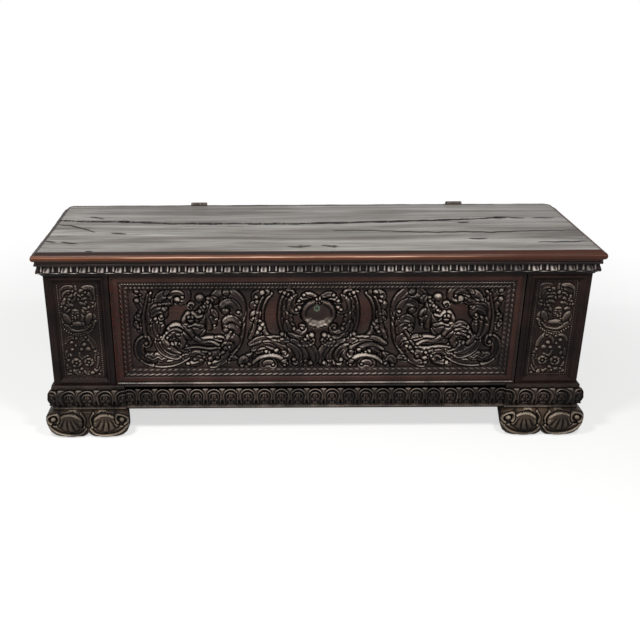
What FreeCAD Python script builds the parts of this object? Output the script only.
import FreeCAD, Part
import math
import os

# A carved walnut cassone: a long chest on scalloped feet, with a moulded lid on two barrel hinges,
# a framed and carved front between two pilasters, a fluted cornice, a leaf-tongue base moulding
# and an iron chest lock. X runs to the right, the front faces -Y, Z is up from the floor.
# Every length is in millimetres.

V = FreeCAD.Vector

# Overall
lid_width = 1700.0
lid_depth = 512.0
lid_top_height = 624.0
lid_thickness = 34.0
lid_end_overhang = 26.0
lid_overhang = 28.0
overrun = 5.0
running_clearance = 0.05
fit_clearance = 0.2

# The split along the lid: how far from the left nail to the right one, how far it strays from the line
# between them as a share of the lid's depth, and its half width over a nail's
split_depth = 19.0
split_shares = (
    (-0.173, 0.038, 1), (-0.066, 0.003, 1.25), (0, 0, 1.1), (0.136, -0.056, 1.3), (0.438, -0.089, 1.5),
    (0.581, -0.078, 1.45), (0.726, -0.059, 1.45), (0.888, -0.035, 1.2), (1, 0, 1.05), (1.03, 0.001, 0.3),
)

# Lid edge, a small cove over a torus over a fillet
lid_arris_inset = 17.0
lid_cove_height = 6.0
lid_cove_inset = 8.0
lid_torus_inset = 6.0
lid_torus_height = 21.0
lid_fillet_inset = 9.0

# Case boards
front_thickness = 26.0
frame_thickness = 16.0
end_thickness = 26.0
back_thickness = 24.0
bottom_thickness = 20.0
bottom_height = 100.0
back_standout = 2.8
bottom_joint_depth = 215.0

# Feet
foot_height = 92.0
foot_width = 270.0
foot_depth = 152.0
foot_side_standout = 35.0
foot_front_standout = 24.0
foot_inner_taper = 28.0
lobe_half_bottom = 11.0
lobe_half_top = 5.0
lobe_rise_bottom = 6.0
lobe_rise_top = 2.5
lobe_foot_height = 10.0
lobe_top_height = 60.0
lobe_pitch_bottom = 24.0
lobe_pitch_top = 11.0
lobe_count = 4
lobe_facet_shares = ((-1, -1), (-1, 0), (-0.5, 1), (0.5, 1), (1, 0), (1, -1))
rim_height = 9.0
rim_rise = 3.0
volute_radius = 19.0
volute_standout = 4.0
volute_eye_radius = 7.0
volute_eye_standout = 4.0
hood_half_width = 27.0
hood_height = 22.0
hood_rise = 4.0
hood_facet_shares = ((-1, 0), (-0.8, 0.55), (-0.35, 1), (0.35, 1), (0.8, 0.55), (1, 0))
rear_foot_width = 110.0
rear_foot_depth = 110.0
rear_foot_chamfer = 8.0

# Base moulding
base_height = 86.0
base_block_reach = 28.0
base_block_step = 8.0
base_fillet_height = 9.0
base_fillet_standout = 10.0
base_cyma_height = 9.0
base_cyma_standout = 8.0
base_edge_standout = 13.0
base_belly_standout = 20.5
tongue_pitch = 54.0
tongue_width = 46.0
tongue_groove_depth = 4.5
tongue_bottom_lift = 4.0
tongue_top_drop = 3.0
belly_facet_shares = ((0, 0), (0.17, 0.62), (0.5, 1), (0.83, 0.62), (1, 0))
arch_facets = 6

# Panel frame round the carved field
frame_side_gap = 2.0
frame_band = 25.0
frame_strip = 28.0
frame_arris = 4.0
frame_band_dip = 3.0
frame_strip_top = 12.0
frame_strip_foot = 4.0
frame_lap = 2.0

# Pilasters
pilaster_width = 194.0
pilaster_border = 15.0
pilaster_end_border = 8.0
pilaster_recess = 8.0
pilaster_mould_width = 14.0
pilaster_mould_rise = 4.0
pilaster_mould_foot = 2.0

# The boss with the keyhole: an oval dish with a raised rim
boss_drop = 176.0
boss_half_width = 52.0
boss_half_height = 46.0
boss_rise = 18.0
boss_facets = 20
boss_rim_shares = (0.93, 0.82, 0.6)
dish_floor_height = 9.0

# The masses that the carver roughs out before any detail, as shares of the carved field. A stroke has
# its half width as a share of the field's height, its rise as a share of the frame's thickness, and
# places across from the drawing's middle and up from the field's foot; a mass has its place first.
carving_middle = 6.0
carving_sink = 1.0
stroke_crest_share = 0.5
stroke_end_shares = (0.65, 0.6)
mass_facets = 8
mass_crest_share = 0.55
carving_stroke_shares = (
    (0.049, 0.812, ((0.569, 0.068), (0.466, 0.246), (0.423, 0.511), (0.423, 0.697), (0.438, 0.845),
                    (0.485, 0.943), (0.55, 0.92))),
    (0.034, 0.688, ((0.927, 0.33), (0.96, 0.33), (0.97, 0.223), (0.918, 0.083), (0.838, 0.061),
                    (0.753, 0.098), (0.682, 0.163), (0.605, 0.201))),
    (0.042, 0.875, ((0.849, 0.405), (0.883, 0.455), (0.903, 0.564), (0.906, 0.693), (0.887, 0.792),
                    (0.856, 0.845))),
    (0.038, 0.938, ((0.866, 0.856), (0.835, 0.909), (0.779, 0.955), (0.73, 0.947), (0.71, 0.905))),
    (0.038, 1, ((0.471, 0.269), (0.477, 0.428), (0.485, 0.602), (0.49, 0.769))),
    (0.027, 0.75, ((0.857, 0.398), (0.852, 0.239), (0.79, 0.148), (0.737, 0.148))),
    (0.03, 0.812, ((0.713, 0.216), (0.786, 0.231), (0.838, 0.36))),
    (0.042, 0.875, ((0.67, 0.496), (0.619, 0.606), (0.588, 0.784))),
    (0.023, 0.75, ((0.678, 0.428), (0.637, 0.383), (0.577, 0.39), (0.525, 0.352))),
    (0.023, 0.688, ((0.748, 0.436), (0.727, 0.341), (0.737, 0.277))),
    (0.027, 0.625, ((0.932, 0.508), (0.953, 0.682), (0.939, 0.837), (0.95, 0.958))),
    (0.034, 0.75, ((0.16, 0.928), (0.186, 0.723), (0.186, 0.595), (0.157, 0.443), (0.101, 0.337),
                   (0.038, 0.348))),
    (0.038, 0.875, ((0.367, 0.299), (0.259, 0.352), (0.184, 0.307), (0.153, 0.208), (0.172, 0.148))),
    (0.03, 0.844, ((0.205, 0.36), (0.103, 0.273), (0.077, 0.174), (0.099, 0.061))),
    (0.027, 0.781, ((0.139, 0.356), (0.063, 0.201), (0.064, 0.072))),
    (0.027, 0.781, ((0.087, 0.337), (0.024, 0.178), (0.023, 0.064))),
    (0.034, 0.875, ((0.365, 0.402), (0.334, 0.5), (0.323, 0.625), (0.341, 0.769), (0.329, 0.894),
                    (0.303, 0.947))),
    (0.027, 0.75, ((0.176, 0.045), (0.198, 0.114), (0.277, 0.155), (0.357, 0.053))),
)
carving_mass_shares = (
    (0.744, 0.455, 0.152, 0.068, 0.812),
    (0.774, 0.466, 0.102, 0.087, 1),
    (0.683, 0.636, 0.049, 0.076, 1.062),
    (0.678, 0.799, 0.036, 0.04, 1.062),
    (0.631, 0.89, 0.053, 0.049, 0.875),
)

# Cornice
cornice_gap = 2.0
cornice_standout = 19.0
cornice_band_top_drop = 7.0
cornice_band_height = 24.0
cornice_band_set = 4.0
cornice_foot_height = 11.0
cornice_foot_standout = 3.0
flute_pitch = 54.0
flute_tongue_width = 26.0
flute_tongue_rise = 4.0
flute_rib_width = 6.0
flute_rib_rise = 3.4
flute_rib_offset = 5.5
rib_facet_shares = ((-1, 0), (-0.62, 0.8), (0, 1), (0.62, 0.8), (1, 0))

# Hinges
hinge_left_middle = -384.0
hinge_right_middle = 503.0
hinge_width = 52.0
hinge_offset = 8.0
hinge_barrel_radius = 7.0
hinge_pin_radius = 3.0
hinge_pin_head_radius = 5.0
hinge_pin_head = 1.6
hinge_knuckle_gap = 0.4
hinge_leaf_thickness = 2.5
hinge_case_leaf_length = 96.0
hinge_lid_leaf_lift = 2.0
hinge_nail_half = 1.8
hinge_nail_head_half = 4.5
hinge_nail_head = 1.4
hinge_nail_length = 18.0
hinge_nail_pitch = 24.0
hinge_nail_spread = 14.0

# Lid battens and the iron work on the lid's top
batten_inset = 206.0
batten_width = 60.0
batten_thickness = 22.0
batten_front = 100.0
batten_back_inset = 42.0
batten_chamfer = 5.0
crack_nail_left_depth = 325.0
crack_nail_right_depth = 352.0
crack_nail_half = 3.0
crack_nail_head_length = 34.0
crack_nail_head_width = 10.0
crack_nail_head_rise = 1.4

# Lock
lock_half_width = 86.0
lock_depth = 34.0
lock_height = 190.0
lock_top_drop = 6.0
lock_wall = 2.0
lock_slot_half = 6.0
lock_slot_front = 3.0
lock_slot_length = 26.0
lock_nail_inset = 9.0
lock_nail_half = 1.8
lock_nail_length = 20.0
lock_nail_head_half = 5.0
lock_nail_head = 1.6
lock_flange = 16.0
lock_flange_thickness = 2.0
key_lift = 18.0
key_pin_radius = 2.0
keyhole_radius = 4.5
keyhole_slot_width = 3.0
keyhole_slot_length = 7.0
bush_radius = 8.0
bush_flange_radius = 10.0
bush_flange = 1.5
bolt_setback = 13.0
bolt_thickness = 6.0
bolt_bar_height = 10.0
bolt_drop = 24.0
bolt_tip = 10.0
bolt_length = 70.0
bolt_arm_offset = 30.0
bolt_arm_width = 14.0
bolt_foot_lift = 16.0
bolt_foot_height = 12.0
bolt_foot_inner = 8.0
bolt_talon_width = 10.0
bolt_talon_depth = 5.0
bolt_talon_offset = 14.0
guide_wall = 2.5
guide_length = 8.0
guide_first_offset = 2.0
guide_second_offset = 46.0
staple_plate_half = 60.0
staple_plate_front = 14.0
staple_plate_thickness = 3.0
staple_thickness = 8.0
staple_front = 76.0
staple_leg = 5.0
staple_opening = 10.0
staple_opening_height = 26.0
rivet_offset = 50.0
rivet_depth = 60.0
rivet_half = 2.8
rivet_knot_half = 6.0
rivet_knot_rise = 2.2
head_crown_share = 0.45

# Places worked out from the sizes above
total_depth = lid_depth + hinge_offset + hinge_barrel_radius
lid_front = -total_depth / 2
lid_back = lid_front + lid_depth
lid_bottom = lid_top_height - lid_thickness
hinge_axis_y = lid_back + hinge_offset
hinge_axis_z = lid_top_height
case_half = lid_width / 2 - lid_end_overhang
face_y = lid_front + lid_overhang
ground_y = face_y + frame_thickness
front_back_y = ground_y + front_thickness
back_outer_y = lid_back + back_standout
back_inner_y = back_outer_y - back_thickness
end_inner = case_half - end_thickness
base_top = foot_height + base_height
pilaster_inner = case_half - pilaster_width
frame_outer_half = pilaster_inner - frame_side_gap
base_block_inner = pilaster_inner - base_block_reach
batten_middle = case_half - batten_inset
back_joint_height = (foot_height + lid_bottom) / 2
frame_bottom = base_top - frame_lap
field_bottom = frame_bottom + frame_band + frame_strip
cornice_top = lid_bottom - cornice_gap
cornice_band_top = cornice_top - cornice_band_top_drop
cornice_band_bottom = cornice_band_top - cornice_band_height
frame_top = cornice_band_bottom - cornice_foot_height
field_top = frame_top - frame_band - frame_strip
boss_height = lid_bottom - boss_drop
key_height = boss_height + key_lift
pilaster_middle = (pilaster_inner + case_half) / 2
pilaster_field_top = frame_top - pilaster_end_border
pilaster_field_bottom = frame_bottom + pilaster_end_border
lock_top = lid_bottom - lock_top_drop
lock_foot_height = lock_top - lock_height
lock_back_y = front_back_y + lock_depth
side_run = back_outer_y - face_y


def box(x0, x1, y0, y1, z0, z1):
    """A plain block between two corners."""
    return Part.makeBox(x1 - x0, y1 - y0, z1 - z0, V(x0, y0, z0))


def outline_wire(start, steps):
    """A closed wire from a start point; a step is (end,) for a line or (via, end) for an arc."""
    edges = []
    here = start
    for step in steps:
        if len(step) == 1:
            edges.append(Part.LineSegment(here, step[0]).toShape())
        else:
            edges.append(Part.Arc(here, step[0], step[1]).toShape())
        here = step[-1]
    if here.distanceToPoint(start) > running_clearance:
        edges.append(Part.LineSegment(here, start).toShape())
    return Part.Wire(edges)


def extrude_outline(start, steps, along):
    """A solid swept straight from a closed outline of lines and arcs."""
    return Part.Face(outline_wire(start, steps)).extrude(along)


def plan_prism(corners, z0, z1):
    """A prism over a plan polygon given as (x, y) corners."""
    points = [V(x, y, z0) for x, y in corners]
    return Part.Face(Part.makePolygon(points + points[:1])).extrude(V(0, 0, z1 - z0))


def front_prism(corners, y0, y1):
    """A prism behind a front-view polygon given as (x, z) corners."""
    points = [V(x, y0, z) for x, z in corners]
    return Part.Face(Part.makePolygon(points + points[:1])).extrude(V(0, y1 - y0, 0))


def rod(radius, start, along):
    """A round bar from a start point along a vector."""
    return Part.makeCylinder(radius, along.Length, start, along)


def square_bar(half, start, along):
    """A square wrought shank from a start point along one axis."""
    end = start + along
    grow = [half if part == 0 else 0 for part in along]
    low = [min(pair) for pair in zip(start, end)]
    high = [max(pair) for pair in zip(start, end)]
    return box(low[0] - grow[0], high[0] + grow[0], low[1] - grow[1], high[1] + grow[1],
               low[2] - grow[2], high[2] + grow[2])


def solid_between(low, high):
    """A faceted solid between two flat outlines that have the same number of corners."""
    faces = [Part.Face(Part.makePolygon(ring + ring[:1])) for ring in (low, high)]
    for index in range(len(low)):
        after = (index + 1) % len(low)
        for corners in ((low[index], low[after], high[after]), (low[index], high[after], high[index])):
            faces.append(Part.Face(Part.makePolygon(list(corners) + [corners[0]])))
    solid = Part.Solid(Part.Shell(faces))
    if solid.Volume < 0:
        solid.reverse()
    return solid


def rose_head(half, rise, at, outward):
    """A hammered nail head: four facets up to a small crown."""
    side = V(1, 0, 0)
    up = outward.cross(side)
    rings = []
    for scale, lift in ((1, 0), (head_crown_share, rise)):
        rings.append([at + side * (across * half * scale) + up * (along * half * scale) + outward * lift
                      for across, along in ((-1, -1), (1, -1), (1, 1), (-1, 1))])
    return solid_between(*rings)


def mirrored(shape):
    """The same piece on the other side of the chest."""
    return shape.mirror(V(0, 0, 0), V(1, 0, 0))


def on_right_side(shape):
    """Turns a piece made on a front-facing plane y = 0 to face +X on the right end."""
    turned = shape.copy()
    turned.rotate(V(0, 0, 0), V(0, 0, 1), 90)
    turned.translate(V(case_half, face_y, 0))
    return turned


def on_front(shape):
    """Moves a piece made on a front-facing plane y = 0 to the case's front face."""
    moved = shape.copy()
    moved.translate(V(0, face_y, 0))
    return moved


def one_solid(shape):
    """The clean single solid of a fused shape."""
    tidy = shape.removeSplitter()
    return tidy.Solids[0] if len(tidy.Solids) == 1 else tidy


def save(name, shape):
    """Writes one piece, and says how many solids it holds."""
    if not shape.isValid():
        print("not valid:", name)
    shape.exportStep("parts/" + name + ".step")
    print(name, len(shape.Solids), round(shape.Volume / 1000), "cm3")


def lid_edge_steps(point):
    """The moulded edge from the lid's underside up to its top arris; point(inset, z) places it."""
    torus_top = lid_top_height - lid_cove_height
    torus_bottom = torus_top - lid_torus_height
    torus_middle = (torus_top + torus_bottom) / 2
    return [
        (point(lid_fillet_inset, torus_bottom),),
        (point(lid_torus_inset, torus_bottom),),
        (point(0, torus_middle), point(lid_torus_inset, torus_top)),
        (point(lid_torus_inset + lid_cove_inset / 2, torus_top),),
        (point(lid_arris_inset - lid_cove_inset / 4, torus_top + lid_cove_height / 3),
         point(lid_arris_inset, lid_top_height)),
    ]


def make_lid_board():
    """One wide board: its front and both ends carry the same moulding, mitred at the corners."""
    half = lid_width / 2

    def from_front(inset, z):
        return V(-half, lid_front + inset, z)

    section = lid_edge_steps(from_front)
    section += [(V(-half, lid_back, lid_top_height),), (V(-half, lid_back, lid_bottom),)]
    board = extrude_outline(from_front(lid_fillet_inset, lid_bottom), section, V(lid_width, 0, 0))

    def from_left(inset, z):
        return V(-half + inset, lid_front, z)

    def from_right(inset, z):
        return V(half - inset, lid_front, z)

    right_points = list(reversed(lid_edge_steps(from_right)))
    cross = lid_edge_steps(from_left) + [(from_right(lid_arris_inset, lid_top_height),)]
    torus_top = lid_top_height - lid_cove_height
    torus_bottom = torus_top - lid_torus_height
    cross += [
        (right_points[0][0], from_right(lid_torus_inset + lid_cove_inset / 2, torus_top)),
        (from_right(lid_torus_inset, torus_top),),
        (right_points[2][0], from_right(lid_torus_inset, torus_bottom)),
        (from_right(lid_fillet_inset, torus_bottom),),
        (from_right(lid_fillet_inset, lid_bottom),),
    ]
    across = extrude_outline(from_left(lid_fillet_inset, lid_bottom), cross, V(0, lid_depth, 0))
    board = board.common(across)

    plate = box(-staple_plate_half, staple_plate_half, lid_front + staple_plate_front,
                lid_front + staple_front + 2 * staple_leg + staple_opening,
                lid_bottom - overrun, lid_bottom + staple_plate_thickness)
    board = board.cut(plate)
    for side in (-1, 1):
        start = V(side * rivet_offset, lid_front + rivet_depth, lid_bottom)
        board = board.cut(square_bar(rivet_half, start, V(0, 0, lid_thickness + overrun)))
    for x, depth in crack_nail_places():
        start = V(x, lid_front + depth, lid_bottom - overrun)
        board = board.cut(square_bar(crack_nail_half, start, V(0, 0, lid_thickness + 2 * overrun)))
    for nail in hinge_nail_bars(lid_nail_places(), lid_back, -1):
        board = board.cut(nail)
    return one_solid(board.cut(lid_split()))


def lid_split():
    """The open split as a cutter: it runs from the left arris through both nails."""
    left, right = [V(x, lid_front + depth, 0) for x, depth in crack_nail_places()]
    front, back = [], []
    for along, stray, wide in split_shares:
        here = left + (right - left) * along + V(0, stray * lid_depth, 0)
        front.append((here.x, here.y - wide * crack_nail_half))
        back.append((here.x, here.y + wide * crack_nail_half))
    return plan_prism(front + back[::-1], lid_top_height - split_depth, lid_top_height + overrun)


def crack_nail_places():
    """Where the two long nails stand, each through a batten and on the open split."""
    return ((-batten_middle, crack_nail_left_depth), (batten_middle, crack_nail_right_depth))


def make_lid_batten(x_middle, nail_depth):
    """A ledge under the lid, chamfered along its lower edges, that keeps the split board flat."""
    half = batten_width / 2
    y0 = lid_front + batten_front
    length = lid_depth - batten_back_inset - batten_front
    low = lid_bottom - batten_thickness
    start = V(x_middle - half, y0, lid_bottom)
    steps = [
        (V(x_middle - half, y0, low + batten_chamfer),),
        (V(x_middle - half + batten_chamfer, y0, low),),
        (V(x_middle + half - batten_chamfer, y0, low),),
        (V(x_middle + half, y0, low + batten_chamfer),),
        (V(x_middle + half, y0, lid_bottom),),
    ]
    batten = extrude_outline(start, steps, V(0, length, 0))
    hole = square_bar(crack_nail_half, V(x_middle, lid_front + nail_depth, low - overrun),
                      V(0, 0, batten_thickness + 2 * overrun))
    return batten.cut(hole)


def make_crack_nails():
    """Two wrought nails with long lozenge heads laid over the split in the lid."""
    nails = []
    for x, depth in crack_nail_places():
        y = lid_front + depth
        low = lid_bottom - batten_thickness
        shank = square_bar(crack_nail_half, V(x, y, low), V(0, 0, lid_top_height - low))
        half_length = crack_nail_head_length / 2
        half_width = crack_nail_head_width / 2
        corners = [(x - half_length, y), (x, y - half_width), (x + half_length, y), (x, y + half_width)]
        head = plan_prism(corners, lid_top_height, lid_top_height + crack_nail_head_rise)
        nails.append(one_solid(shank.fuse(head)))
    return Part.makeCompound(nails)


def make_rivets():
    """The two clinched rivets that hold the lock staple, each ending in a low knot on the lid."""
    rivets = []
    for side in (-1, 1):
        x = side * rivet_offset
        y = lid_front + rivet_depth
        low = lid_bottom + staple_plate_thickness
        shank = square_bar(rivet_half, V(x, y, low), V(0, 0, lid_top_height - low))
        knot = rose_head(rivet_knot_half, rivet_knot_rise, V(x, y, lid_top_height), V(0, 0, 1))
        rivets.append(one_solid(shank.fuse(knot)))
    return Part.makeCompound(rivets)


def make_lock_staple():
    """The lid's share of the lock: a plate let into the lid, with a loop that the bolt enters."""
    y0 = lid_front + staple_front
    y1 = y0 + 2 * staple_leg + staple_opening
    half = staple_thickness / 2
    plate = box(-staple_plate_half, staple_plate_half, lid_front + staple_plate_front, y1,
                lid_bottom, lid_bottom + staple_plate_thickness)
    middle_y = y0 + staple_leg + staple_opening / 2
    round_start = lid_bottom - staple_opening_height + staple_opening / 2
    outer_radius = staple_opening / 2 + staple_leg
    loop = box(-half, half, y0, y1, round_start, lid_bottom)
    loop = loop.fuse(rod(outer_radius, V(-half, middle_y, round_start), V(staple_thickness, 0, 0)))
    eye = box(-half - overrun, half + overrun, y0 + staple_leg, y1 - staple_leg,
              round_start, lid_bottom - staple_plate_thickness)
    eye = eye.fuse(rod(staple_opening / 2, V(-half - overrun, middle_y, round_start),
                       V(staple_thickness + 2 * overrun, 0, 0)))
    return one_solid(plate.fuse(loop.cut(eye)))


def mitred_front_plan(half, reach):
    """Plan of a front moulding whose two ends are mitred at the case's corners."""
    return [(-half, 0), (-half - reach, -reach), (half + reach, -reach), (half, 0)]


def mitred_side_plan(length, reach):
    """Plan of an end moulding, mitred at the front corner and square at the back."""
    return [(0, 0), (-reach, -reach), (length, -reach), (length, 0)]


def cornice_section(x0, length):
    """The cornice before carving: top fillet, upright band and a cavetto back to the case."""
    band = cornice_standout - cornice_band_set
    foot = cornice_band_bottom - cornice_foot_height
    start = V(x0, 0, cornice_top)
    steps = [
        (V(x0, -cornice_standout, cornice_top),),
        (V(x0, -cornice_standout, cornice_band_top),),
        (V(x0, -band, cornice_band_top),),
        (V(x0, -band, cornice_band_bottom),),
        (V(x0, -cornice_foot_standout - (band - cornice_foot_standout) / 3,
           cornice_band_bottom - cornice_foot_height / 3),
         V(x0, -cornice_foot_standout, foot)),
        (V(x0, 0, foot),),
    ]
    return extrude_outline(start, steps, V(length, 0, 0))


def knife_cut_rib(x, width, rise):
    """One upright rib of the cornice's carved band, cut with a flat chisel in a few facets."""
    face = cornice_standout - cornice_band_set
    half = width / 2
    corners = [(x + share * half, -face - lift * rise) for share, lift in rib_facet_shares]
    corners = [(x - half, -face + rise)] + corners + [(x + half, -face + rise)]
    return plan_prism(corners, cornice_band_bottom, cornice_band_top)


def flutes(x_start, x_end):
    """Broad tongues with a pair of thin ribs between each two, spread evenly along a run."""
    count = int((x_end - x_start - flute_tongue_width) / flute_pitch)
    first = (x_start + x_end) / 2 - count * flute_pitch / 2
    pieces = []
    for index in range(count + 1):
        x = first + index * flute_pitch
        pieces.append(knife_cut_rib(x, flute_tongue_width, flute_tongue_rise))
        if index < count:
            between = x + flute_pitch / 2
            pieces.append(knife_cut_rib(between - flute_rib_offset, flute_rib_width, flute_rib_rise))
            pieces.append(knife_cut_rib(between + flute_rib_offset, flute_rib_width, flute_rib_rise))
    return Part.makeCompound(pieces)


def make_cornice(plan, x_start, x_end, reach):
    """A length of cornice with its carved band, cut to its plan."""
    run = cornice_section(x_start - reach, x_end - x_start + 2 * reach)
    run = run.fuse(flutes(x_start, x_end))
    bottom = cornice_band_bottom - cornice_foot_height - overrun
    return one_solid(run.common(plan_prism(plan, bottom, cornice_top)))


def base_section(x0, length, setback, groove):
    """The base moulding: fillet, pulvinated belly, cyma. A groove depth gives its carved ground."""
    fillet_top = foot_height + base_fillet_height
    belly_bottom = fillet_top + tongue_bottom_lift
    belly_top = base_top - base_cyma_height
    edge = base_edge_standout - setback - groove
    belly = base_belly_standout - setback - groove
    fillet = base_fillet_standout - setback
    cyma = base_cyma_standout - setback / 2
    start = V(x0, 0, foot_height)
    steps = [
        (V(x0, -fillet, foot_height),),
        (V(x0, -fillet, fillet_top),),
    ]
    for up, out in belly_facet_shares:
        steps.append((V(x0, -edge - out * (belly - edge), belly_bottom + up * (belly_top - belly_bottom)),))
    steps += [
        (V(x0, -cyma, belly_top + base_cyma_height / 3),),
        (V(x0, -cyma, base_top - base_cyma_height / 3),),
        (V(x0, -cyma / 2, base_top),),
        (V(x0, 0, base_top),),
    ]
    return extrude_outline(start, steps, V(length, 0, 0))


def tongue(x):
    """The upright arched outline of one leaf tongue, as a cutter through the moulding."""
    half = tongue_width / 2
    low = foot_height + base_fillet_height + tongue_bottom_lift
    spring = base_top - base_cyma_height - tongue_top_drop - half
    reach = base_belly_standout + overrun
    corners = [(x + half, low)]
    for index in range(arch_facets + 1):
        angle = math.pi * index / arch_facets
        corners.append((x + half * math.cos(angle), spring + half * math.sin(angle)))
    corners.append((x - half, low))
    return front_prism(corners, -reach, 0)


def make_base(plan, x_start, x_end, reach, setback, first, count):
    """A length of base moulding with its row of tongues standing out of a sunk ground."""
    x0 = x_start - reach
    length = x_end - x_start + 2 * reach
    ground = base_section(x0, length, setback, tongue_groove_depth)
    full = base_section(x0, length, setback, 0)
    arches = Part.makeCompound([tongue(first + index * tongue_pitch) for index in range(count)])
    carved = ground.fuse(full.common(arches))
    return one_solid(carved.common(plan_prism(plan, foot_height - overrun, base_top + overrun)))


def make_base_front():
    """The centre run of the base, set back between the two corner blocks."""
    half = base_block_inner
    count = int(2 * half / tongue_pitch)
    first = -(count - 1) * tongue_pitch / 2
    plan = [(-half, 0), (-half, -base_belly_standout), (half, -base_belly_standout), (half, 0)]
    return on_front(make_base(plan, -half, half, 0, base_block_step, first, count))


def make_base_block_right():
    """The right corner block's front, mitred to the moulding of the chest's end."""
    reach = base_belly_standout + overrun
    plan = [(base_block_inner, 0), (base_block_inner, -reach), (case_half + reach, -reach), (case_half, 0)]
    count = int((case_half - base_block_inner) / tongue_pitch)
    span = case_half - base_block_inner
    first = base_block_inner + span / 2 - (count - 1) * tongue_pitch / 2
    return on_front(make_base(plan, base_block_inner, case_half, reach, 0, first, count))


def make_base_side_right():
    """The base moulding of the right end, up to the back of the chest."""
    reach = base_belly_standout + overrun
    plan = mitred_side_plan(side_run, reach)
    count = int(side_run / tongue_pitch)
    first = side_run / 2 - (count - 1) * tongue_pitch / 2
    return on_right_side(make_base(plan, 0, side_run, reach, 0, first, count))


def frame_section(x0, length):
    """Section of the panel frame along X: outer arris, broad dished band, sloping leaf strip."""
    front = -frame_thickness
    band_end = -frame_band
    inner = -frame_band - frame_strip
    start = V(x0, 0, 0)
    steps = [
        (V(x0, front + frame_arris, 0),),
        (V(x0, front, -frame_arris / 2), V(x0, front, -frame_arris)),
        (V(x0, front + frame_band_dip, (band_end - frame_arris) / 2), V(x0, front, band_end + frame_arris)),
        (V(x0, front, band_end),),
        (V(x0, -frame_strip_top, band_end),),
        (V(x0, -frame_strip_top - frame_arris / 4, band_end - frame_strip / 2),
         V(x0, -frame_strip_foot, inner)),
        (V(x0, 0, inner),),
    ]
    return extrude_outline(start, steps, V(length, 0, 0))


def frame_member(length, section, width):
    """A straight member of a frame, outer edge at z = 0, both ends mitred, centred on x = 0."""
    half = length / 2
    run = section(-half, length)
    plan = [(-half, 0), (half, 0), (half - width, -width), (-half + width, -width)]
    return run.common(front_prism(plan, -frame_thickness - overrun, frame_thickness))


def placed_member(member, turn, x, z, y):
    """Turns a frame member about the line of sight and sets its outer edge's middle."""
    placed = member.copy()
    placed.rotate(V(0, 0, 0), V(0, 1, 0), turn)
    placed.translate(V(x, y, z))
    return placed


def make_panel_frame():
    """The four mitred members of the frame round the carved field."""
    width = frame_band + frame_strip
    middle = (frame_top + frame_bottom) / 2
    long_member = frame_member(2 * frame_outer_half, frame_section, width)
    short_member = frame_member(frame_top - frame_bottom, frame_section, width)
    return {
        "panel_frame_top": placed_member(long_member, 0, 0, frame_top, ground_y),
        "panel_frame_bottom": placed_member(long_member, 180, 0, frame_bottom, ground_y),
        "panel_frame_right": placed_member(short_member, 90, frame_outer_half, middle, ground_y),
        "panel_frame_left": placed_member(short_member, -90, -frame_outer_half, middle, ground_y),
    }


def pilaster_mould_section(x0, length):
    """Section of the small moulding that frames a pilaster's carved field."""
    rise = pilaster_recess + pilaster_mould_rise
    width = pilaster_mould_width
    start = V(x0, 0, 0)
    steps = [
        (V(x0, -rise + pilaster_mould_rise / 2, 0),),
        (V(x0, -rise, -width / 4), V(x0, -rise + pilaster_mould_rise / 2, -width / 2)),
        (V(x0, -pilaster_mould_foot, -width),),
        (V(x0, 0, -width),),
    ]
    return extrude_outline(start, steps, V(length, 0, 0))


def make_pilaster_mouldings():
    """Four small mitred mouldings for each pilaster."""
    width = case_half - pilaster_inner - 2 * pilaster_border
    height = pilaster_field_top - pilaster_field_bottom
    middle = (pilaster_field_top + pilaster_field_bottom) / 2
    y = face_y + pilaster_recess
    across = frame_member(width, pilaster_mould_section, pilaster_mould_width)
    upright = frame_member(height, pilaster_mould_section, pilaster_mould_width)
    right = {
        "top": placed_member(across, 0, pilaster_middle, pilaster_field_top, y),
        "bottom": placed_member(across, 180, pilaster_middle, pilaster_field_bottom, y),
        "outer": placed_member(upright, 90, pilaster_middle + width / 2, middle, y),
        "inner": placed_member(upright, -90, pilaster_middle - width / 2, middle, y),
    }
    made = {}
    for place, shape in right.items():
        made["right_pilaster_moulding_" + place] = shape
        made["left_pilaster_moulding_" + place] = mirrored(shape)
    return made


def make_right_pilaster():
    """The right stile of the front, with a sunk field for its carving."""
    stile = box(pilaster_inner, case_half, face_y, front_back_y, foot_height, lid_bottom)
    field = box(pilaster_inner + pilaster_border, case_half - pilaster_border, face_y - overrun,
                face_y + pilaster_recess, pilaster_field_bottom, pilaster_field_top)
    return stile.cut(field)


def make_rails():
    """The two rails that bring the cornice and the base out flush with the pilasters."""
    top = box(-pilaster_inner, pilaster_inner, face_y, ground_y, frame_top, lid_bottom)
    bottom = box(-pilaster_inner, pilaster_inner, face_y, ground_y, foot_height, frame_bottom)
    return top, bottom


def oval(half_width, half_height, scale, rise, count):
    """Corners of an oval about the boss's middle, at a height above the carved ground."""
    angles = [2 * math.pi * index / count for index in range(count)]
    return [V(half_width * scale * math.cos(angle), ground_y - rise, half_height * scale * math.sin(angle))
            for angle in angles]


def make_boss():
    """The oval dish round the keyhole, and the cutter that hollows it."""
    rim, lip, floor = boss_rim_shares
    sizes = (boss_half_width, boss_half_height)
    body = solid_between(oval(*sizes, 1, -carving_sink, boss_facets),
                         oval(*sizes, rim, boss_rise, boss_facets))
    hollow = solid_between(oval(*sizes, floor, dish_floor_height, boss_facets),
                           oval(*sizes, lip, boss_rise + carving_sink, boss_facets))
    for piece in (body, hollow):
        piece.translate(V(0, 0, boss_height))
    return body, hollow


def carving_place(across, up, side):
    """A point of the carved ground from its shares of the field, on one side of the drawing."""
    tall = field_top - field_bottom
    wide = frame_outer_half - frame_band - frame_strip
    return V(carving_middle + side * across * wide, ground_y, field_bottom + up * tall)


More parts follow.
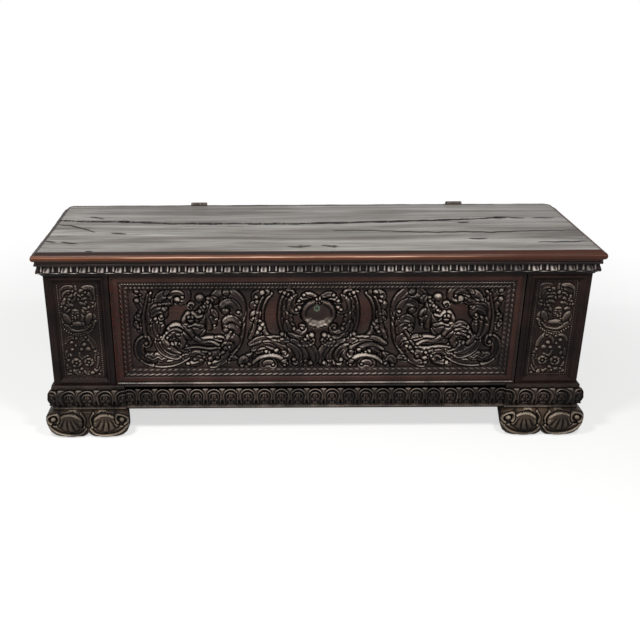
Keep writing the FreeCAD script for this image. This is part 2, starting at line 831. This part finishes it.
def carved_stroke(half_share, rise_share, places, side):
    """One stroke of the drawing, blocked out as a tapering ridge with chamfered sides."""
    path = [carving_place(across, up, side) for across, up in places]
    half = half_share * (field_top - field_bottom)
    rise = rise_share * frame_thickness
    last = len(path) - 1
    rings = []
    for scale, lift in ((1, -carving_sink), (stroke_crest_share, rise)):
        left, right = [], []
        for index, here in enumerate(path):
            ahead = path[min(index + 1, last)] - path[max(index - 1, 0)]
            ahead.normalize()
            width = half * scale
            if index in (0, last):
                width *= stroke_end_shares[0 if index == 0 else 1]
            across = V(-ahead.z, 0, ahead.x) * width
            out = V(0, -lift, 0)
            left.append(here + across + out)
            right.append(here - across + out)
        rings.append(left + right[::-1])
    return solid_between(*rings)


def carved_mass(across, up, width_share, height_share, rise_share, side):
    """One rounded mass of a figure, blocked out with flat facets."""
    tall = field_top - field_bottom
    place = carving_place(across, up, side) - V(0, ground_y, 0)
    rings = []
    for scale, lift in ((1, -carving_sink), (mass_crest_share, rise_share * frame_thickness)):
        ring = oval(width_share * tall, height_share * tall, scale, lift, mass_facets)
        rings.append([corner + place for corner in ring])
    return solid_between(*rings)


def make_front_panel():
    """The wide front board with the masses of its carving, its boss and the keyhole's bore."""
    board = box(-pilaster_inner, pilaster_inner, ground_y, front_back_y, foot_height, lid_bottom)
    boss, hollow = make_boss()
    carving = [boss]
    for side in (-1, 1):
        carving += [carved_stroke(*stroke, side) for stroke in carving_stroke_shares]
        carving += [carved_mass(*mass, side) for mass in carving_mass_shares]
    board = board.fuse(carving).cut(hollow)
    bore = rod(bush_radius, V(0, ground_y - boss_rise - overrun, key_height),
               V(0, front_back_y - ground_y + boss_rise + 2 * overrun, 0))
    seat = rod(bush_flange_radius, V(0, ground_y - boss_rise - overrun, key_height),
               V(0, overrun + bush_flange + boss_rise - dish_floor_height, 0))
    for nail in lock_nail_bars():
        board = board.cut(nail)
    return one_solid(board.cut(bore).cut(seat))


def make_keyhole_bush():
    """A brass bush through the boss: a round head with a slot below for the key's bit."""
    face = ground_y - dish_floor_height
    body = rod(bush_radius, V(0, face, key_height), V(0, front_back_y - face, 0))
    flange = rod(bush_flange_radius, V(0, face, key_height), V(0, bush_flange, 0))
    length = front_back_y - face + 2 * overrun
    head = rod(keyhole_radius, V(0, face - overrun, key_height), V(0, length, 0))
    slot_bottom = key_height - keyhole_slot_length
    slot = box(-keyhole_slot_width / 2, keyhole_slot_width / 2, face - overrun, face + length,
               slot_bottom, key_height)
    return one_solid(body.fuse(flange).cut(head).cut(slot))


def make_key_pin():
    """The pin that a pipe key turns on, from the lock's back to the bush's face."""
    face = ground_y - dish_floor_height
    return rod(key_pin_radius, V(0, face, key_height), V(0, lock_back_y - lock_wall - face, 0))


def make_lock_case():
    """The iron box of the lock, open to the board, flanged at its ends, slotted for the staple."""
    outer = box(-lock_half_width, lock_half_width, front_back_y, lock_back_y, lock_foot_height, lock_top)
    inner = box(-lock_half_width + lock_wall, lock_half_width - lock_wall, front_back_y - overrun,
                lock_back_y - lock_wall, lock_foot_height + lock_wall, lock_top - lock_wall)
    shell = outer.cut(inner)
    for side in (-1, 1):
        x = sorted((side * lock_half_width, side * (lock_half_width + lock_flange)))
        shell = shell.fuse(box(x[0], x[1], front_back_y, front_back_y + lock_flange_thickness,
                               lock_foot_height, lock_top))
    slot_y = front_back_y + lock_slot_front
    slot = box(-lock_slot_half, lock_slot_half, slot_y, slot_y + lock_slot_length,
               lock_top - lock_wall - overrun, lock_top + overrun)
    shell = shell.cut(slot)
    for nail in lock_nail_bars():
        shell = shell.cut(nail)
    return one_solid(shell)


def lock_nail_places():
    """The four nails at the ends of the lock's flanges."""
    x = lock_half_width + lock_flange / 2
    return [(side * x, z) for side in (-1, 1)
            for z in (lock_foot_height + lock_nail_inset, lock_top - lock_nail_inset)]


def lock_nail_bars():
    """The nails' shanks from the flanges' faces into the front board."""
    y = front_back_y + lock_flange_thickness
    return [square_bar(lock_nail_half, V(x, y, z), V(0, -lock_nail_length, 0))
            for x, z in lock_nail_places()]


def make_lock_nails():
    """Four short nails with square faceted heads."""
    nails = []
    for shank, (x, z) in zip(lock_nail_bars(), lock_nail_places()):
        y = front_back_y + lock_flange_thickness
        head = rose_head(lock_nail_head_half, lock_nail_head, V(x, y, z), V(0, 1, 0))
        nails.append(one_solid(shank.fuse(head)))
    return Part.makeCompound(nails)


def bolt_place():
    """Front face, lower edge and middle height of the bolt's bar."""
    y = front_back_y + bolt_setback
    z = lid_bottom - bolt_drop
    return y, z, z + bolt_bar_height / 2


def make_lock_bolt():
    """The bolt at rest, drawn back: a bar level with the staple, an arm, and a notched talon foot."""
    y, z, _ = bolt_place()
    y1 = y + bolt_thickness
    arm_x = bolt_tip + bolt_arm_offset
    foot_low = key_height + bolt_foot_lift
    bar = box(bolt_tip, bolt_tip + bolt_length, y, y1, z, z + bolt_bar_height)
    arm = box(arm_x, arm_x + bolt_arm_width, y, y1, foot_low, z + bolt_bar_height)
    foot = box(bolt_foot_inner, arm_x + bolt_arm_width, y, y1, foot_low, foot_low + bolt_foot_height)
    talon_x = bolt_foot_inner + bolt_talon_offset
    talon = box(talon_x, talon_x + bolt_talon_width, y - overrun, y1 + overrun,
                foot_low - overrun, foot_low + bolt_talon_depth)
    return one_solid(bar.fuse(arm).fuse(foot).cut(talon))


def make_bolt_guides():
    """Two riveted brackets that stand off the lock's back and carry the bolt's bar."""
    y, z, _ = bolt_place()
    gap = fit_clearance
    guides = []
    for offset in (guide_first_offset, guide_second_offset):
        x0 = bolt_tip + offset
        x1 = x0 + guide_length
        block = box(x0, x1, y - gap - guide_wall, lock_back_y - lock_wall, z - gap - guide_wall,
                    z + bolt_bar_height + gap + guide_wall)
        channel = box(x0 - overrun, x1 + overrun, y - gap, y + bolt_thickness + gap, z - gap,
                      z + bolt_bar_height + gap)
        guides.append(block.cut(channel))
    return Part.makeCompound(guides)


def knuckle(x0, x1):
    """One rolled knuckle of a hinge, bored for its pin with a running clearance."""
    barrel = rod(hinge_barrel_radius, V(x0, hinge_axis_y, hinge_axis_z), V(x1 - x0, 0, 0))
    bore = rod(hinge_pin_radius + running_clearance, V(x0 - overrun, hinge_axis_y, hinge_axis_z),
               V(x1 - x0 + 2 * overrun, 0, 0))
    return barrel, bore


def knuckle_spans(middle):
    """The three knuckles' spans: the lid's two outside, the case's one between."""
    half = hinge_width / 2
    third = hinge_width / 6
    gap = hinge_knuckle_gap
    lid = [(middle - half, middle - third - gap), (middle + third + gap, middle + half)]
    return lid, (middle - third, middle + third)


def make_case_leaf(middle):
    """The long leaf down the back board, rolled round the pin between the lid's knuckles."""
    _, (x0, x1) = knuckle_spans(middle)
    half = hinge_width / 2
    y0 = back_outer_y
    y1 = y0 + hinge_leaf_thickness
    barrel, bore = knuckle(x0, x1)
    bottom = lid_bottom - hinge_case_leaf_length
    neck = box(x0, x1, y0, y1, lid_bottom - overrun, hinge_axis_z)
    leaf = box(middle - half, middle + half, y0, y1, bottom, lid_bottom)
    leaf = leaf.fuse(neck).fuse(barrel).cut(bore)
    for nail in hinge_nail_bars(case_nail_places(middle), y1, -1):
        leaf = leaf.cut(nail)
    return one_solid(leaf)


def make_lid_leaf(middle):
    """The short leaf on the lid's back edge, with the two outer knuckles."""
    half = hinge_width / 2
    y0 = lid_back
    y1 = y0 + hinge_leaf_thickness
    spans, _ = knuckle_spans(middle)
    leaf = box(middle - half, middle + half, y0, y1, lid_bottom + hinge_lid_leaf_lift,
               hinge_axis_z - hinge_barrel_radius - hinge_knuckle_gap)
    for x0, x1 in spans:
        barrel, bore = knuckle(x0, x1)
        neck = box(x0, x1, y0, y1, hinge_axis_z - 2 * hinge_barrel_radius, hinge_axis_z)
        leaf = leaf.fuse(neck).fuse(barrel).cut(bore)
    for nail in hinge_nail_bars(lid_nail_places(middle), y1, -1):
        leaf = leaf.cut(nail)
    return one_solid(leaf)


def make_pin(middle):
    """The hinge pin, peened over at both ends."""
    length = hinge_width + 2 * hinge_knuckle_gap
    x0 = middle - length / 2
    pin = rod(hinge_pin_radius, V(x0, hinge_axis_y, hinge_axis_z), V(length, 0, 0))
    for x in (x0 - hinge_pin_head, x0 + length):
        pin = pin.fuse(rod(hinge_pin_head_radius, V(x, hinge_axis_y, hinge_axis_z), V(hinge_pin_head, 0, 0)))
    return one_solid(pin)


def case_nail_places(middle):
    """Three nails in each case leaf: one above, two below."""
    high = lid_bottom - hinge_nail_pitch
    return [(middle, high), (middle - hinge_nail_spread, high - hinge_nail_pitch * 2),
            (middle + hinge_nail_spread, high - hinge_nail_pitch * 2)]


def lid_nail_places(middle=None):
    """Two nails in each lid leaf; without a hinge named, the nails of both hinges."""
    middles = (hinge_left_middle, hinge_right_middle) if middle is None else (middle,)
    z = lid_bottom + hinge_lid_leaf_lift + hinge_nail_head_half + hinge_leaf_thickness
    return [(x + side * hinge_nail_spread, z) for x in middles for side in (-1, 1)]


def hinge_nail_bars(places, y, direction):
    """Nail shanks driven forward from a leaf's outer face."""
    return [square_bar(hinge_nail_half, V(x, y, z), V(0, direction * hinge_nail_length, 0))
            for x, z in places]


def make_hinge_nails(places, y, head):
    """Small nails for one set of leaves, their heads on the leaf or sunk flush with it."""
    nails = []
    for shank, (x, z) in zip(hinge_nail_bars(places, y, -1), places):
        if head:
            cap = rose_head(hinge_nail_head_half, hinge_nail_head, V(x, y, z), V(0, 1, 0))
            shank = one_solid(shank.fuse(cap))
        nails.append(shank)
    return Part.makeCompound(nails)


def make_back_boards():
    """Two planks across the back, bored for the case leaves' nails."""
    upper = box(-case_half, case_half, back_inner_y, back_outer_y, back_joint_height, lid_bottom)
    lower = box(-case_half, case_half, back_inner_y, back_outer_y, foot_height, back_joint_height)
    for middle in (hinge_left_middle, hinge_right_middle):
        outer_y = back_outer_y + hinge_leaf_thickness
        for nail in hinge_nail_bars(case_nail_places(middle), outer_y, -1):
            upper = upper.cut(nail)
    return upper, lower


def make_right_end_board():
    """The plain board that closes the right end."""
    return box(end_inner, case_half, front_back_y, back_inner_y, foot_height, lid_bottom)


def make_bottom_boards():
    """Two planks of the chest's floor."""
    joint = lid_front + bottom_joint_depth
    z1 = bottom_height + bottom_thickness
    front = box(-end_inner, end_inner, front_back_y, joint, bottom_height, z1)
    back = box(-end_inner, end_inner, joint, back_inner_y, bottom_height, z1)
    return front, back


# Outline of one shell of a foot, as shares of its width and height from its outer top corner
shell_top_share = 0.20
shell_shoulder_shares = (0.045, 0.88)
shell_side_shares = (0.0, 0.64)
shell_cheek_shares = (0.07, 0.25)
shell_sole_start_share = 0.36
shell_sole_end_share = 0.74
shell_toe_shares = (0.90, 0.05)
shell_notch_height_share = 0.16
volute_place_shares = (0.15, 0.66)
shell_middle_share = 0.62
foot_face_shares = ((0.012, 1), (0.024, 0.7), (0.024, 0.42), (0, 0.16), (0, 0.06), (0.03, 0))


def shell_steps(point):
    """The outline of one shell from its top, round the outside and the sole, to the notch."""
    return [
        (point(*shell_shoulder_shares), point(*shell_side_shares)),
        (point(*shell_cheek_shares), point(shell_sole_start_share, 0)),
        (point(shell_sole_end_share, 0),),
        (point(*shell_toe_shares), point(1, shell_notch_height_share)),
    ]


def make_front_right_foot():
    """A corner foot: two scallop shells side by side in front, one towards the end of the chest."""
    x_outer = case_half + foot_side_standout
    x_inner = x_outer - foot_width
    shell = foot_width / 2
    y0 = face_y - foot_front_standout

    def outer_point(across, up):
        return V(x_outer - across * shell, y0, up * foot_height)

    def inner_point(across, up):
        return V(x_inner + across * shell, y0, up * foot_height)

    right = shell_steps(outer_point)
    left_way = [
        (inner_point(*shell_toe_shares), inner_point(shell_sole_end_share, 0)),
        (inner_point(shell_sole_start_share, 0),),
        (inner_point(*shell_cheek_shares), inner_point(*shell_side_shares)),
        (inner_point(*shell_shoulder_shares), inner_point(shell_top_share, 1)),
        (outer_point(shell_top_share, 1),),
    ]
    across = extrude_outline(outer_point(shell_top_share, 1), right + left_way, V(0, foot_depth, 0))

    face = [V(x_inner - overrun, y0 + back * shell, up * foot_height) for back, up in foot_face_shares]
    face += [V(x_inner - overrun, y0 + foot_depth, 0), V(x_inner - overrun, y0 + foot_depth, foot_height)]
    along = Part.Face(Part.makePolygon(face + face[:1])).extrude(V(foot_width + 2 * overrun, 0, 0))
    y1 = y0 + foot_depth + overrun
    plan = [(x_inner - overrun, y0 - overrun), (x_outer + overrun, y0 - overrun), (x_outer + overrun, y1),
            (x_inner + foot_inner_taper, y1), (x_inner, face_y), (x_inner - overrun, face_y)]
    foot = across.common(along).common(plan_prism(plan, -overrun, foot_height + overrun))
    return one_solid(foot.fuse(foot_carving(x_outer, x_inner, y0)))


def lobe(middle, y0, place):
    """One fluted lobe of a shell: a flat-chiselled taper that leans out from the hood to the rim."""
    rings = []
    for half, rise, pitch, z in ((lobe_half_bottom, lobe_rise_bottom, lobe_pitch_bottom, lobe_foot_height),
                                 (lobe_half_top, lobe_rise_top, lobe_pitch_top, lobe_top_height)):
        rings.append([V(middle + place * pitch + across * half, y0 - out * rise, z)
                      for across, out in lobe_facet_shares])
    return solid_between(*rings)


def foot_carving(x_outer, x_inner, y0):
    """The volute, hood, four lobes and rim that stand out of each front shell."""
    shell = foot_width / 2
    pieces = []
    for edge, way in ((x_outer, -1), (x_inner, 1)):
        eye_x = edge + way * volute_place_shares[0] * shell
        eye_z = volute_place_shares[1] * foot_height
        root = V(eye_x, y0 + volute_standout, eye_z)
        pieces.append(rod(volute_radius, root, V(0, -2 * volute_standout, 0)))
        pieces.append(rod(volute_eye_radius, root, V(0, -2 * volute_standout - volute_eye_standout, 0)))
        middle = edge + way * shell * shell_middle_share
        hood = [(middle + across * hood_half_width, foot_height - hood_height + up * hood_height)
                for across, up in hood_facet_shares]
        pieces.append(front_prism(hood, y0 - hood_rise, y0 + hood_rise))
        for index in range(lobe_count):
            pieces.append(lobe(middle, y0, index - (lobe_count - 1) / 2))
        rim = sorted(edge + way * shell * share for share in (shell_sole_start_share, shell_sole_end_share))
        pieces.append(box(rim[0], rim[1], y0 - rim_rise, y0 + rim_rise, 0, rim_height))
    whole = pieces[0]
    for piece in pieces[1:]:
        whole = whole.fuse(piece)
    return whole


def make_rear_right_foot():
    """A plain block at the back, its lower edges eased."""
    x1 = case_half
    x0 = x1 - rear_foot_width
    y1 = back_outer_y
    y0 = y1 - rear_foot_depth
    cut = rear_foot_chamfer
    start = V(x0, y0, foot_height)
    steps = [(V(x0, y0, cut),), (V(x0 + cut, y0, 0),), (V(x1 - cut, y0, 0),), (V(x1, y0, cut),),
             (V(x1, y0, foot_height),)]
    return extrude_outline(start, steps, V(0, rear_foot_depth, 0))


def main():
    """Makes every piece of the chest and writes it."""
    os.makedirs("parts", exist_ok=True)

    save("lid_board", make_lid_board())
    save("lid_batten_left", make_lid_batten(-batten_middle, crack_nail_left_depth))
    save("lid_batten_right", make_lid_batten(batten_middle, crack_nail_right_depth))
    save("lid_crack_nails", make_crack_nails())
    save("lock_staple", make_lock_staple())
    save("staple_rivets", make_rivets())

    save("front_panel", make_front_panel())
    top_rail, bottom_rail = make_rails()
    save("front_top_rail", top_rail)
    save("front_bottom_rail", bottom_rail)
    pilaster = make_right_pilaster()
    save("right_pilaster", pilaster)
    save("left_pilaster", mirrored(pilaster))
    for name, shape in make_panel_frame().items():
        save(name, shape)
    for name, shape in make_pilaster_mouldings().items():
        save(name, shape)

    end_board = make_right_end_board()
    save("right_end_board", end_board)
    save("left_end_board", mirrored(end_board))
    upper_back, lower_back = make_back_boards()
    save("back_board_upper", upper_back)
    save("back_board_lower", lower_back)
    front_floor, back_floor = make_bottom_boards()
    save("bottom_board_front", front_floor)
    save("bottom_board_back", back_floor)

    reach = cornice_standout + overrun
    front_plan = mitred_front_plan(case_half, reach)
    save("cornice_front", on_front(make_cornice(front_plan, -case_half, case_half, reach)))
    side_plan = mitred_side_plan(side_run, reach)
    cornice_right = on_right_side(make_cornice(side_plan, 0, side_run, reach))
    save("cornice_right", cornice_right)
    save("cornice_left", mirrored(cornice_right))

    save("base_moulding_front", make_base_front())
    block = make_base_block_right()
    save("base_block_right", block)
    save("base_block_left", mirrored(block))
    base_side = make_base_side_right()
    save("base_moulding_right", base_side)
    save("base_moulding_left", mirrored(base_side))

    foot = make_front_right_foot()
    save("front_right_foot", foot)
    save("front_left_foot", mirrored(foot))
    rear_foot = make_rear_right_foot()
    save("rear_right_foot", rear_foot)
    save("rear_left_foot", mirrored(rear_foot))

    for side, middle in (("left", hinge_left_middle), ("right", hinge_right_middle)):
        save("hinge_" + side + "_case_leaf", make_case_leaf(middle))
        save("hinge_" + side + "_lid_leaf", make_lid_leaf(middle))
        save("hinge_" + side + "_pin", make_pin(middle))
    leaf_face = back_outer_y + hinge_leaf_thickness
    places = case_nail_places(hinge_left_middle) + case_nail_places(hinge_right_middle)
    save("hinge_case_nails", make_hinge_nails(places, leaf_face, True))
    save("hinge_lid_nails", make_hinge_nails(lid_nail_places(), lid_back + hinge_leaf_thickness, False))

    save("lock_case", make_lock_case())
    save("lock_nails", make_lock_nails())
    save("lock_key_pin", make_key_pin())
    save("lock_bolt_guides", make_bolt_guides())
    save("lock_bolt", make_lock_bolt())
    save("keyhole_bush", make_keyhole_bush())


main()
